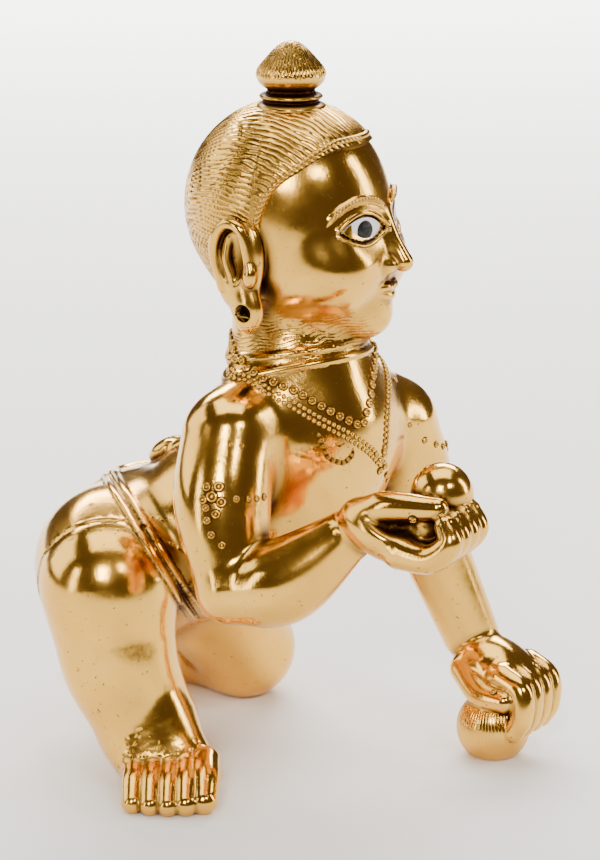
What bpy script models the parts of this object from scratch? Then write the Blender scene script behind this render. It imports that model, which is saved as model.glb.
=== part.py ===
"""Laddu gopal: a cast brass figure of the crawling child with a topknot and a sweet in each hand.

The pose is drawn on a grid on which the figure is TIP high: +x is its left, -y its front, +z up.
Balls set along its bones are fused by a voxel remesh, the skin is settled on the blended forms,
thinned, cut flat where it stands, and the eyes are let into sockets.
"""
import bmesh
import bpy
import numpy as np
from mathutils import Matrix

# Sizes in metres
HEIGHT = 0.110
GAP = 0.0003
VOXEL = 0.00062
TRIANGLES = 7900

# Pose, in shares of the drawing grid
TIP = 0.982
HEAD = (0.006, 0.029, 0.750)
HEAD_TURN = 17
HEAD_R = 0.125
R_SHOULDER = (-0.146, 0.010, 0.490)
R_ELBOW = (-0.203, -0.050, 0.318)
R_WRIST = (-0.137, -0.180, 0.396)
L_SHOULDER = (0.142, -0.022, 0.462)
L_ELBOW = (0.193, -0.035, 0.310)
L_WRIST = (0.238, -0.083, 0.150)
R_HIP = (-0.064, 0.278, 0.250)
R_KNEE = (-0.172, 0.208, 0.258)
R_ANKLE = (-0.165, 0.151, 0.080)
L_HIP = (0.062, 0.292, 0.225)
L_KNEE = (0.156, 0.272, 0.070)
L_ANKLE = (0.128, 0.420, 0.040)
TOE_IN = (-0.209, 0.000)
TOE_OUT = (-0.270, 0.070)
TOE_BACK = (0.053, 0.046)
KNOT = (-0.008, 0.006)
EAR = (0.122, 0.024, -0.040)
DRILL = 0.0105
EAR_TURN = 14
EYE_ANGLE = 23
EYE_Z = 0.002
EYE_HALF_WIDE = 0.037
EYE_HALF_HIGH = 0.0175
EYE_THICK = 0.007
EYE_LOWER = 0.78
EYE_PROUD = 0.0012
EYE_DOME = 0.0026
EYE_BEND = 3.6
SWEET_R = 0.039
SWEET_L = 0.050

# Hairline: distance round the head from the middle of the forehead, and height
HAIRLINE = [(0, 0.106), (0.08, 0.103), (0.14, 0.082), (0.18, 0.052), (0.196, 0.01), (0.21, -0.06), (0.26, -0.12), (0.4, -0.145)]
HAIR_THICK = 0.0055
HAIR_RIM = 0.0030
WAIST_NORMAL = (-0.727, -0.495, 0.475)
WAIST_AT = -0.030

seeds = []


def norm(v):
    return np.sqrt((v * v).sum(-1))


def blend(a, b, k):
    """Union of two forms with a fillet of size k."""
    h = np.clip(0.5 + 0.5 * (b - a) / k, 0, 1)
    return b + (a - b) * h - k * h * (1 - h)


def carve(a, b, k):
    """Form a with form b taken out, the edge rounded by k."""
    h = np.clip(0.5 - 0.5 * (b + a) / k, 0, 1)
    return a + (-b - a) * h + k * h * (1 - h)


def step(lo, hi, v):
    t = np.clip((v - lo) / (hi - lo), 0, 1)
    return t * t * (3 - 2 * t)


def ridge(v, half):
    """A rounded ridge, 1 on its line and 0 at half its width."""
    return np.clip(1 - (v / half) ** 2, 0, 1)


def turn(rx, ry, rz):
    rx, ry, rz = np.radians([rx, ry, rz])
    x = np.array([[1, 0, 0], [0, np.cos(rx), -np.sin(rx)], [0, np.sin(rx), np.cos(rx)]])
    y = np.array([[np.cos(ry), 0, np.sin(ry)], [0, 1, 0], [-np.sin(ry), 0, np.cos(ry)]])
    z = np.array([[np.cos(rz), -np.sin(rz), 0], [np.sin(rz), np.cos(rz), 0], [0, 0, 1]])
    return z @ y @ x


def placed(o, r, s=(1, 1, 1)):
    m = np.eye(4)
    m[:3, :3] = r * np.array(s)
    m[:3, 3] = o
    return m


class Spot:
    """Points told in one set of axes, and the placement of those axes on the grid."""

    def __init__(self, v, m=np.eye(4)):
        self.v = v
        self.m = m

    def axes(self, o, r):
        return Spot((self.v - np.array(o)) @ r, self.m @ placed(o, r))

    def pick(self, keep):
        return Spot(self.v[keep], self.m)


def hollow(p, c, r, t=(0, 0, 0)):
    """Distance to an egg with centre c, half sizes r and turn t."""
    q = (p.v - np.array(c)) @ turn(*t)
    k0 = norm(q / np.array(r))
    k1 = norm(q / np.array(r) ** 2)
    return k0 * (k0 - 1) / np.maximum(k1, 1e-6)


def egg(p, c, r, t=(0, 0, 0)):
    seeds.append(p.m @ placed(c, turn(*t), r))
    return hollow(p, c, r, t)


def curve(pts, n):
    """A smooth path through the points, n steps from one to the next."""
    pts = np.array(pts, float)
    e = np.vstack([2 * pts[0] - pts[1], pts, 2 * pts[-1] - pts[-2]])
    out = []
    for a, b, c, d in zip(e[:-3], e[1:-2], e[2:-1], e[3:]):
        for t in np.arange(n) / n:
            out.append(0.5 * (2 * b + (c - a) * t + (2 * a - 5 * b + 4 * c - d) * t * t
                              + (3 * b - a - 3 * c + d) * t ** 3))
    out.append(pts[-1])
    return np.array(out)


def limb(p, pts, radii, n=4):
    """Distance to a round rod along a smooth path through the points with a radius at each."""
    e = np.column_stack([pts, radii])
    e = np.vstack([2 * e[0] - e[1], e, 2 * e[-1] - e[-2]])
    a, b, c, d = e[:-3], e[1:-2], e[2:-1], e[3:]
    parts = [b, (c - a) / 2, a - 2.5 * b + 2 * c - d / 2, (3 * b - a - 3 * c + d) / 2]
    spans = len(b)
    q = curve(e[1:-1], n)
    best = np.full(len(p.v), 9.0)
    u = np.zeros(len(p.v))
    for i, (a, b) in enumerate(zip(q[:-1], q[1:])):
        ab = b[:3] - a[:3]
        v = p.v - a[:3]
        t = np.clip(v @ ab / max(ab @ ab, 1e-12), 0, 1)
        far = norm(v - t[:, None] * ab) - (a[3] + (b[3] - a[3]) * t)
        u = np.where(far < best, (i + t) / n, u)
        best = np.minimum(far, best)
        count = int(np.ceil(norm(ab) / (0.7 * min(a[3], b[3])))) + 1
        for s in np.linspace(0, 1, count):
            m = a + (b - a) * s
            seeds.append(p.m @ placed(m[:3], np.eye(3), (m[3],) * 3))
    for _ in range(2):
        j = np.minimum(u.astype(int), spans - 1)
        s = (u - j)[:, None]
        c0, c1, c2, c3 = [k[j] for k in parts]
        at = c0 + s * (c1 + s * (c2 + s * c3))
        way = (c1 + s * (2 * c2 + 3 * s * c3))[:, :3]
        bend = (2 * c2 + 6 * s * c3)[:, :3]
        x = at[:, :3] - p.v
        down = (way * way).sum(1) + (x * bend).sum(1)
        move = (x * way).sum(1) / np.maximum(down, 0.3 * (way * way).sum(1) + 1e-12)
        u = np.clip(u - np.clip(move, -0.2, 0.2), 0, spans)
    j = np.minimum(u.astype(int), spans - 1)
    s = (u - j)[:, None]
    c0, c1, c2, c3 = [k[j] for k in parts]
    at = c0 + s * (c1 + s * (c2 + s * c3))
    return norm(at[:, :3] - p.v) - at[:, 3]


def near(p, part, c, r):
    """The part's distance inside a ball round it, and a safe distance outside."""
    far = norm(p.v - np.array(c)) - r
    out = far + 0.06
    keep = far < 0
    out[keep] = part(p.pick(keep))
    return out


def mix(a, b, t):
    return np.array(a) + (np.array(b) - np.array(a)) * t


def trunk(p):
    d = egg(p, (0, 0.305, 0.246), (0.128, 0.124, 0.120))
    d = blend(d, egg(p, (0, 0.170, 0.312), (0.112, 0.14, 0.118), (-32, 0, 0)), 0.05)
    d = blend(d, egg(p, (0, 0.010, 0.425), (0.122, 0.105, 0.145), (25, 0, 0)), 0.06)
    d = blend(d, limb(p, [R_SHOULDER, (0, 0.012, 0.500), L_SHOULDER], [0.045, 0.072, 0.045]), 0.06)
    d = blend(d, limb(p, [(-0.115, 0.015, 0.515), (0, 0.020, 0.560), (0.110, -0.010, 0.495)],
                      [0.040, 0.062, 0.040]), 0.04)
    d = blend(d, limb(p, [(0, 0.015, 0.53), (0, 0.028, 0.62)], [0.083, 0.082], 1), 0.045)
    fold = ridge(p.v[:, 2] - 0.590 + 0.16 * p.v[:, 1], 0.006) + ridge(p.v[:, 2] - 0.571 + 0.20 * p.v[:, 1], 0.006)
    d = d - 0.0028 * fold * step(0.09, 0.06, p.v[:, 1])
    pit = hollow(p, (-0.104, -0.110, 0.425), (0.062, 0.030, 0.030), (0, 42, 30))
    d = carve(d, pit, 0.010)
    tail = ridge(p.v[:, 0], 0.024) * step(0.03, 0.06, p.v[:, 1]) * step(0.27, 0.25, p.v[:, 1])
    d = d - 0.011 * np.sqrt(tail) * step(0.36, 0.40, p.v[:, 2])
    return blend(d, egg(p, (0, 0.262, 0.399), (0.027, 0.034, 0.017), (-32, 0, 0)), 0.006)


def waist_string(p):
    """Two cords side by side round the hips."""
    x = np.sqrt(p.v[:, 0] ** 2 + 0.0004)
    u = np.column_stack([x, p.v[:, 1:]]) @ np.array(WAIST_NORMAL) - WAIST_AT
    cords = ridge(u - 0.0068, 0.0058) + ridge(u + 0.0068, 0.0058)
    return cords * step(0.08, 0.11, p.v[:, 1]) * step(0.15, 0.18, p.v[:, 2]) * step(0.43, 0.40, p.v[:, 2])


def right_arm(p):
    d = limb(p, [R_SHOULDER, (-0.182, -0.012, 0.41), R_ELBOW], [0.061, 0.062, 0.046])
    return blend(d, limb(p, [R_ELBOW, (-0.176, -0.112, 0.334), R_WRIST], [0.046, 0.055, 0.034]), 0.010)


def left_arm(p):
    return limb(p, [L_SHOULDER, (0.170, -0.030, 0.385), L_ELBOW, L_WRIST], [0.058, 0.055, 0.049, 0.039])


def right_leg(p):
    d = limb(p, [R_HIP, (-0.130, 0.248, 0.268), R_KNEE], [0.112, 0.104, 0.086])
    return blend(d, limb(p, [R_KNEE, (-0.180, 0.182, 0.16), R_ANKLE], [0.085, 0.079, 0.066]), 0.03)


def left_leg(p):
    d = limb(p, [L_HIP, (0.115, 0.280, 0.140), L_KNEE], [0.108, 0.093, 0.072])
    return blend(d, limb(p, [L_KNEE, (0.150, 0.350, 0.050), L_ANKLE], [0.070, 0.056, 0.040]), 0.02)


def toes(p, inner, outer, back, rise, big, small):
    """Five toes side by side, big toe first; back is the way from tip to root."""
    d = None
    for i in range(5):
        r = big + (small - big) * min(i, 2) / 2
        tip = np.append(mix(inner, outer, i / 4), r * 0.9)
        tip[:2] = tip[:2] - np.array(back[:2]) * 0.13 * np.sin(np.pi * i / 4)
        root = tip + np.array(back)
        toe = limb(p, [root, mix(root, tip, 0.55) + (0, 0, rise), tip], [r * 1.1, r * 1.12, r], 3)
        d = toe if d is None else blend(d, toe, 0.003)
    return d


def right_foot(p):
    d = egg(p, (-0.152, 0.146, 0.034), (0.050, 0.054, 0.048), (0, 0, -48))
    for t in (0.06, 0.36, 0.66, 0.94):
        ball = np.append(mix(TOE_IN, TOE_OUT, t) + np.array(TOE_BACK), 0.026)
        ankle = np.append((-0.170, 0.134) + (mix(TOE_IN, TOE_OUT, t) - mix(TOE_IN, TOE_OUT, 0.5)) * 0.4, 0.062)
        d = blend(d, limb(p, [ankle, mix(ankle, ball, 0.55), ball], [0.044, 0.036, 0.027]), 0.02)
    return blend(d, toes(p, TOE_IN, TOE_OUT, (*TOE_BACK, 0.026), 0.006, 0.0180, 0.0145), 0.006)


def left_foot(p):
    d = egg(p, (0.105, 0.462, 0.034), (0.040, 0.070, 0.033), (0, 0, 18))
    d = blend(d, egg(p, (0.124, 0.418, 0.040), (0.042, 0.045, 0.040)), 0.02)
    return blend(d, toes(p, (0.055, 0.520), (0.118, 0.528), (0.012, -0.050, 0.012), 0.003, 0.016, 0.012), 0.008)


def fingers(p, bones, across, middle, radii, k):
    """Four fingers side by side, each through the same bones moved along across."""
    d = None
    for i in range(4):
        move = np.array(across) * (i / 3 - middle)
        f = limb(p, [np.array(b) + move for b in bones], radii)
        d = f if d is None else blend(d, f, k)
    return d


def right_hand(p):
    d = egg(p, (-0.124, -0.236, 0.412), (0.047, 0.064, 0.036), (22, 10, 22))
    d = blend(d, egg(p, (-0.100, -0.270, 0.425), (0.040, 0.045, 0.036)), 0.01)
    d = carve(d, hollow(p, (-0.158, -0.268, 0.436), (0.026, 0.038, 0.016), (24, 0, 22)), 0.010)
    bones = [(-0.120, -0.268, 0.398), (-0.118, -0.312, 0.398), (-0.111, -0.338, 0.420), (-0.106, -0.326, 0.440)]
    d = blend(d, fingers(p, bones, (0.062, 0.010, 0.004), 0.35, [0.022, 0.018, 0.016, 0.013], 0.005), 0.008)
    bones = [(-0.137, -0.198, 0.417), (-0.140, -0.246, 0.448), (-0.122, -0.312, 0.455)]
    d = blend(d, limb(p, bones, [0.026, 0.020, 0.0145]), 0.006)
    return blend(d, egg(p, (-0.080, -0.286, 0.460), (SWEET_R,) * 3), 0.004)


def left_hand(p):
    d = egg(p, (0.238, -0.138, 0.114), (0.050, 0.064, 0.035), (28, 0, 14))
    d = blend(d, egg(p, (0.222, -0.150, 0.090), (0.042, 0.045, 0.036)), 0.01)
    bones = [(0.236, -0.160, 0.114), (0.236, -0.192, 0.100), (0.230, -0.200, 0.068), (0.225, -0.192, 0.046)]
    d = blend(d, fingers(p, bones, (0.076, 0.012, -0.002), 0.42, [0.019, 0.018, 0.016, 0.014], 0.004), 0.006)
    bones = [(0.208, -0.105, 0.112), (0.188, -0.145, 0.090), (0.186, -0.183, 0.088)]
    d = blend(d, limb(p, bones, [0.026, 0.020, 0.015]), 0.005)
    return blend(d, egg(p, (0.207, -0.150, 0.040), (SWEET_L,) * 3), 0.004)


def chart(q):
    """Distance round the head from the middle of the face, and height."""
    return np.arctan2(q.v[:, 0], -q.v[:, 1]) * HEAD_R, q.v[:, 2]


def hair(q):
    """Height above the hairline."""
    s, z = chart(q)
    k = curve(HAIRLINE, 12)
    return z - np.interp(np.abs(s), k[:, 0], k[:, 1])


def brow(q):
    s, z = chart(q)
    u = np.abs(s)
    arch = 0.041 - 8.0 * (u - 0.050) ** 2
    return step(0.008, 0.016, u) * step(0.108, 0.094, u) * ridge(z - arch, 0.006)


def eye_axes(q, side):
    """Axes of one eye: x along it, -y out of the face."""
    return q.axes((0, 0, EYE_Z), turn(0, 0, side * EYE_ANGLE))


def lids(q):
    """Raised lines above and below the two eyes."""
    total = 0
    for side in (-1, 1):
        e = eye_axes(q, side).v
        x = e[:, 0] / (EYE_HALF_WIDE * 1.10)
        z = e[:, 2] / EYE_HALF_HIGH
        z = np.where(z > 0, z, -z / EYE_LOWER)
        line = (z - 1.04 * np.clip(1 - x * x, 0, 1)) * EYE_HALF_HIGH
        total = total + ridge(line - 0.0040, 0.0036) * (e[:, 1] < 0) * step(1.12, 1.0, np.abs(x))
    return np.minimum(total, 1)


def face(q):
    d = egg(q, (0, 0.012, 0.020), (0.124, 0.132, 0.131))
    d = blend(d, egg(q, (0, -0.024, -0.045), (0.109, 0.108, 0.108)), 0.04)
    for x in (-0.055, 0.055):
        d = blend(d, egg(q, (x, -0.074, -0.052), (0.049, 0.050, 0.045)), 0.03)
    d = blend(d, egg(q, (0, -0.094, -0.117), (0.036, 0.036, 0.031)), 0.03)
    for side in (-1, 1):
        d = carve(d, hollow(q, (side * 0.050, -0.150, 0.004), (0.044, 0.030, 0.025), (0, 0, side * EYE_ANGLE)), 0.022)
    nose = limb(q, [(0, -0.117, 0.020), (0, -0.136, -0.020), (0, -0.149, -0.044)], [0.008, 0.010, 0.0125])
    for x in (-0.014, 0.014):
        nose = blend(nose, egg(q, (x, -0.132, -0.047), (0.011, 0.013, 0.0095)), 0.006)
    d = blend(d, nose, 0.012)
    upper = limb(q, [(-0.034, -0.119, -0.0785), (-0.013, -0.1305, -0.0760), (0, -0.1310, -0.0780),
                     (0.013, -0.1305, -0.0760), (0.034, -0.119, -0.0785)], [0.0026, 0.0054, 0.0048, 0.0054, 0.0026])
    lower = limb(q, [(-0.027, -0.121, -0.0840), (0, -0.1295, -0.0885), (0.027, -0.121, -0.0840)],
                 [0.0026, 0.0068, 0.0026])
    d = blend(d, upper, 0.005)
    d = blend(d, lower, 0.004)
    return d - 0.0035 * brow(q) - 0.0022 * lids(q)


def ear(q, side):
    e = q.axes((side * EAR[0], EAR[1], EAR[2]), turn(0, 0, side * EAR_TURN))
    d = egg(e, (0, 0, 0), (0.017, 0.037, 0.060), (8, 0, 0))
    d = blend(d, egg(e, (side * 0.004, -0.016, -0.056), (0.014, 0.023, 0.030)), 0.012)
    d = carve(d, hollow(e, (side * 0.019, -0.002, 0.010), (0.015, 0.020, 0.034), (8, 0, 0)), 0.005)
    d = blend(d, limb(e, [(side * 0.008, 0.010, 0.034), (side * 0.011, 0.012, 0.008), (side * 0.009, 0.002, -0.020)],
                      [0.005, 0.006, 0.006]), 0.004)
    rim = limb(e, [(side * 0.011, -0.024, 0.004), (side * 0.014, -0.013, 0.047), (side * 0.015, 0.014, 0.051),
                   (side * 0.014, 0.031, 0.020), (side * 0.010, 0.021, -0.030)], [0.006, 0.007, 0.007, 0.007, 0.006])
    d = blend(d, rim, 0.005)
    d = blend(d, egg(e, (side * 0.013, -0.027, -0.010), (0.008, 0.009, 0.014)), 0.006)
    drill = np.maximum(norm(e.v[:, 1:] - np.array((-0.018, -0.058))) - DRILL, np.abs(e.v[:, 0]) - 0.026)
    return d, drill


def topknot(q):
    x, y = KNOT
    d = egg(q, (x, y, 0.146), (0.0455, 0.0455, 0.012))
    d = blend(d, egg(q, (x, y, 0.160), (0.0410, 0.0410, 0.0085)), 0.003)
    bulb = egg(q, (x, y, 0.188), (0.0450, 0.0450, 0.0255))
    bulb = blend(bulb, egg(q, (x, y, 0.199), (0.029, 0.029, 0.0315)), 0.014)
    return blend(d, bulb, 0.003)


def head(p):
    q = p.axes(HEAD, turn(0, 0, HEAD_TURN))
    h = hair(q)
    d = face(q) - HAIR_THICK * step(-0.004, 0.004, h) - HAIR_RIM * ridge(h - 0.005, 0.008)
    for side in (-1, 1):
        shell, drill = ear(q, side)
        d = carve(blend(d, shell, 0.006), drill, 0.002)
    return blend(d, topknot(q), 0.005)


def figure(p):
    d = blend(trunk(p), right_leg(p), 0.03)
    d = blend(d, left_leg(p), 0.03) - 0.0040 * waist_string(p)
    d = blend(d, right_arm(p), 0.020)
    d = blend(d, left_arm(p), 0.020)
    d = blend(d, near(p, right_foot, (-0.20, 0.09, 0.03), 0.17), 0.03)
    d = blend(d, near(p, left_foot, (0.10, 0.46, 0.03), 0.15), 0.02)
    d = blend(d, near(p, right_hand, (-0.11, -0.27, 0.43), 0.15), 0.006)
    d = blend(d, near(p, left_hand, (0.22, -0.15, 0.08), 0.16), 0.008)
    return blend(d, near(p, head, (0.006, 0.02, 0.77), 0.27), 0.016)


def settle(mesh, turns):
    """Moves every point of the mesh onto the skin of the figure."""
    v = np.empty(len(mesh.vertices) * 3)
    mesh.vertices.foreach_get("co", v)
    v = v.reshape(-1, 3)
    e = 2e-4
    tetra = np.array([(1, 1, 1), (1, -1, -1), (-1, 1, -1), (-1, -1, 1)])
    for _ in range(turns):
        four = [figure(Spot(v + e * k)) for k in tetra]
        g = sum(f[:, None] * k for f, k in zip(four, tetra)) / (4 * e)
        d = sum(four) / 4
        far = np.clip(d / np.maximum(norm(g) ** 2, 0.05), -0.012, 0.012)
        v = v - far[:, None] * g
    mesh.vertices.foreach_set("co", v.ravel())
    mesh.update()


def finished(obj):
    """The mesh of an object with its modifiers carried out."""
    held = bpy.context.evaluated_depsgraph_get()
    mesh = bpy.data.meshes.new_from_object(obj.evaluated_get(held))
    obj.modifiers.clear()
    obj.data = mesh
    return obj


def remeshed(obj, voxel):
    mod = obj.modifiers.new("fuse", 'REMESH')
    mod.mode = 'VOXEL'
    mod.voxel_size = voxel
    return finished(obj)


def new_object(name, bm):
    mesh = bpy.data.meshes.new(name)
    bm.to_mesh(mesh)
    bm.free()
    obj = bpy.data.objects.new(name, mesh)
    bpy.context.collection.objects.link(obj)
    return obj


def skin():
    """Balls along the bones, fused, settled, thinned and cut at the floor."""
    seeds.clear()
    figure(Spot(np.array([HEAD, (-0.20, 0.09, 0.03), (0.10, 0.46, 0.03), (-0.11, -0.27, 0.43), (0.22, -0.15, 0.08)])))
    ball = bmesh.new()
    bmesh.ops.create_icosphere(ball, subdivisions=2, radius=1)
    corners = np.array([v.co for v in ball.verts])
    faces = np.array([[v.index for v in f.verts] for f in ball.faces])
    ball.free()
    m = np.array(seeds)
    v = corners @ m[:, :3, :3].transpose(0, 2, 1) + m[:, None, :3, 3]
    f = faces + len(corners) * np.arange(len(m))[:, None, None]
    mesh = bpy.data.meshes.new("idol_body")
    mesh.from_pydata(v.reshape(-1, 3).tolist(), [], f.reshape(-1, 3).tolist())
    obj = bpy.data.objects.new("idol_body", mesh)
    bpy.context.collection.objects.link(obj)
    grid = HEIGHT / TIP
    remeshed(obj, VOXEL / grid)
    settle(obj.data, 3)
    remeshed(obj, VOXEL / grid)
    settle(obj.data, 2)
    obj.data.transform(Matrix.Scale(grid, 4))
    mod = obj.modifiers.new("thin", 'DECIMATE')
    faces = sum(len(f.vertices) - 2 for f in obj.data.polygons)
    mod.ratio = TRIANGLES / faces
    mod.use_collapse_triangulate = True
    finished(obj)
    bm = bmesh.new()
    bm.from_mesh(obj.data)
    geom = bm.verts[:] + bm.edges[:] + bm.faces[:]
    cut = bmesh.ops.bisect_plane(bm, geom=geom, plane_co=(0, 0, 0), plane_no=(0, 0, 1), clear_inner=True)
    rim = [g for g in cut["geom_cut"] if isinstance(g, bmesh.types.BMEdge)]
    bmesh.ops.holes_fill(bm, edges=rim)
    bm.to_mesh(obj.data)
    bm.free()
    return obj


def eye_place(side):
    """Placement of the middle of an eye on the face, in metres."""
    reach = np.linspace(0.10, 0.17, 281)
    line = np.column_stack([0 * reach, -reach, 0 * reach])
    q = Spot(line @ turn(0, 0, side * EYE_ANGLE).T + (0, 0, EYE_Z))
    out = np.interp(0, face(q), reach)
    m = placed(HEAD, turn(0, 0, HEAD_TURN)) @ placed((0, 0, EYE_Z), turn(0, 0, side * EYE_ANGLE))
    m = m @ placed((0, -out, 0), np.eye(3))
    return Matrix.Scale(HEIGHT / TIP, 4) @ Matrix(m.tolist())


def almond(name, side, grow):
    """A plate with a pointed oval outline and a domed front, bent round the face and grown evenly for its socket."""
    wide = EYE_HALF_WIDE + 3 * grow
    high = EYE_HALF_HIGH + 1.1 * grow
    bm = bmesh.new()
    bmesh.ops.create_uvsphere(bm, u_segments=24, v_segments=10, radius=1)
    flat = np.sin(np.radians(72))
    for v in bm.verts:
        out = norm(np.array(v.co[:2]))
        rho = min(out / flat, 1)
        c, s = (v.co.x / out, v.co.y / out) if out > 1e-6 else (1, 0)
        x = wide * c * rho
        z = high * s * abs(s) * rho * (EYE_LOWER if s < 0 else 1)
        front = v.co.z > 0.05
        y = -EYE_PROUD - EYE_DOME * (1 - rho * rho) - 12 * grow if front else EYE_THICK + 1.1 * grow
        if abs(v.co.z) < 0.05:
            y = (EYE_THICK - EYE_PROUD) / 2
        v.co = (x, y + x * x * EYE_BEND, z)
    bm.transform(eye_place(side))
    bmesh.ops.recalc_face_normals(bm, faces=bm.faces)
    return new_object(name, bm)


def carve_sockets(body):
    for side in (-1, 1):
        cutter = almond("socket_cutter", side, GAP * TIP / HEIGHT)
        mod = body.modifiers.new("socket", 'BOOLEAN')
        mod.operation = 'DIFFERENCE'
        mod.solver = 'EXACT'
        mod.object = cutter
        finished(body)
        bpy.data.objects.remove(cutter)


def material(name, colour, metallic, roughness):
    mat = bpy.data.materials.new(name)
    mat.use_nodes = True
    shader = mat.node_tree.nodes["Principled BSDF"]
    shader.inputs["Base Color"].default_value = (*colour, 1)
    shader.inputs["Metallic"].default_value = metallic
    shader.inputs["Roughness"].default_value = roughness
    return mat


def main():
    for old in list(bpy.data.objects):
        bpy.data.objects.remove(old)
    body = skin()
    carve_sockets(body)
    eyes = [almond("eye_right", -1, 0), almond("eye_left", 1, 0)]
    v = np.array([c.co for c in body.data.vertices])
    middle = (v.min(0) + v.max(0)) / 2
    for obj in [body] + eyes:
        obj.data.transform(Matrix.Translation((-middle[0], -middle[1], 0)))
        bm = bmesh.new()
        bm.from_mesh(obj.data)
        bmesh.ops.triangulate(bm, faces=bm.faces)
        bm.to_mesh(obj.data)
        bm.free()
    body.data.materials.clear()
    body.data.materials.append(material("brass", (0.80, 0.56, 0.22), 1, 0.22))
    white = material("white_enamel", (0.88, 0.88, 0.85), 0, 0.12)
    for eye in eyes:
        eye.data.materials.append(white)


main()
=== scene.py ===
"""Laddu gopal: the polished brass figure around its CAD frame, as an add-on of operators."""

import bmesh
import bpy
import numpy as np
from bpy.props import FloatProperty, FloatVectorProperty, IntProperty, PointerProperty
from mathutils import Matrix, Vector


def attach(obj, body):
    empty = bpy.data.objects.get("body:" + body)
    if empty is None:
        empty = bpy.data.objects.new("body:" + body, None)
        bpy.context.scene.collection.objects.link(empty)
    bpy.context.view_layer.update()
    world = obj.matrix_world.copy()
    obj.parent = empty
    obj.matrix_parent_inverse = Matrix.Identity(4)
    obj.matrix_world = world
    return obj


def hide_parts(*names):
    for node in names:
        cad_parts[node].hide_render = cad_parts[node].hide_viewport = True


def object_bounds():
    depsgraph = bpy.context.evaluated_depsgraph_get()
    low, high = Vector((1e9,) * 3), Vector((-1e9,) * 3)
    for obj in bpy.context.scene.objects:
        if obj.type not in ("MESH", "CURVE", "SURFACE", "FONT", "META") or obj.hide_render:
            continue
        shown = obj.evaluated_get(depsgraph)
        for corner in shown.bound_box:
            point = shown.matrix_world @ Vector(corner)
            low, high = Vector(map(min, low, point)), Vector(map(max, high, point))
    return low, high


bl_info = {
    "name": "Laddu gopal",
    "version": (1, 0, 0),
    "blender": (4, 5, 0),
    "location": "View3D > Sidebar > Idol",
    "description": "Dresses the cast brass figure: skin, hair, ornament, eyes and stage",
    "category": "Object",
}

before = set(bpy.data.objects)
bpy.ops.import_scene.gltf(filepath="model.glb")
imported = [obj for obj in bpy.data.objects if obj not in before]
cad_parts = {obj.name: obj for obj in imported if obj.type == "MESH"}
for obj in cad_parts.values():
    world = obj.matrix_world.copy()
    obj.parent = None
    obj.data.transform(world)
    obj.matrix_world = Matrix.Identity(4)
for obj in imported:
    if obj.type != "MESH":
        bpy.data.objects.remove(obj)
cad_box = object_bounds()
cad_low = np.array(cad_box[0])
cad_high = np.array(cad_box[1])

# The middle of the drawing grid's box, in metres
MIDDLE = (0.00081028, 0.01027304, 0)

# Chased relief, in shares of the drawing grid
HAIR_MIDDLE = (0, 0.012, 0.02)
HAIR_CUTS = 172
HAIR_CUT_DEEP = 0.0017
KNOT_CUTS = 54
KNOT_CUT_DEEP = 0.0011
NECK_CUT_DEEP = 0.0006
PLAIT_PITCH = 0.016
SWEET_CUTS = 64
# The cut between the body and head pieces, in a fold of the neck
NECK_POINT = (0, 0, 0.5805)
NECK_NORMAL = (0, 0.18, 1)
# Meshing: spare below that cut, cells of the first fusing, depth from which corners stay in place
NECK_SPARE = 0.03
FUSE_VOXEL = 0.0055
DEEP_INSIDE = 0.02
# Beads strung round the neck, the inner string and the outer double row, in thousandths of the grid
INNER_STRING = np.array([
    (0, 105, 600), (-82, 75, 598), (-112, 25, 582), (-109, -13, 566), (-87, -46, 552), (-66, -70, 533),
    (-41, -89, 514), (-15, -99, 501), (-4, -97, 512), (6, -94, 523), (29, -79, 550), (50, -66, 563),
    (85, -30, 583), (98, 20, 592), (75, 72, 598), (10, 104, 600),
]) / 1000
OUTER_STRING = np.array([
    (0, 110, 588), (-90, 80, 586), (-122, 30, 570), (-119, -2, 563), (-111, -29, 551), (-95, -49, 537),
    (-78, -67, 521), (-59, -84, 506), (-34, -97, 489), (-3, -104, 466), (25, -100, 444), (33, -100, 471),
    (40, -95, 496), (55, -84, 518), (77, -66, 538), (100, -30, 560), (108, 20, 572), (82, 78, 586),
    (10, 110, 588),
]) / 1000
# Mark on the breast, a line of small lumps ending in a curl
BREAST_MARK = np.array([
    (-74, -77, 500), (-71, -82, 483), (-65, -87, 466), (-52, -93, 458), (-43, -96, 457), (-33, -99, 465),
    (-31, -99, 474),
]) / 1000
BREAST_ARC = np.array([(-56, -90, 483), (-50, -93, 479), (-42, -95, 482)]) / 1000
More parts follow.
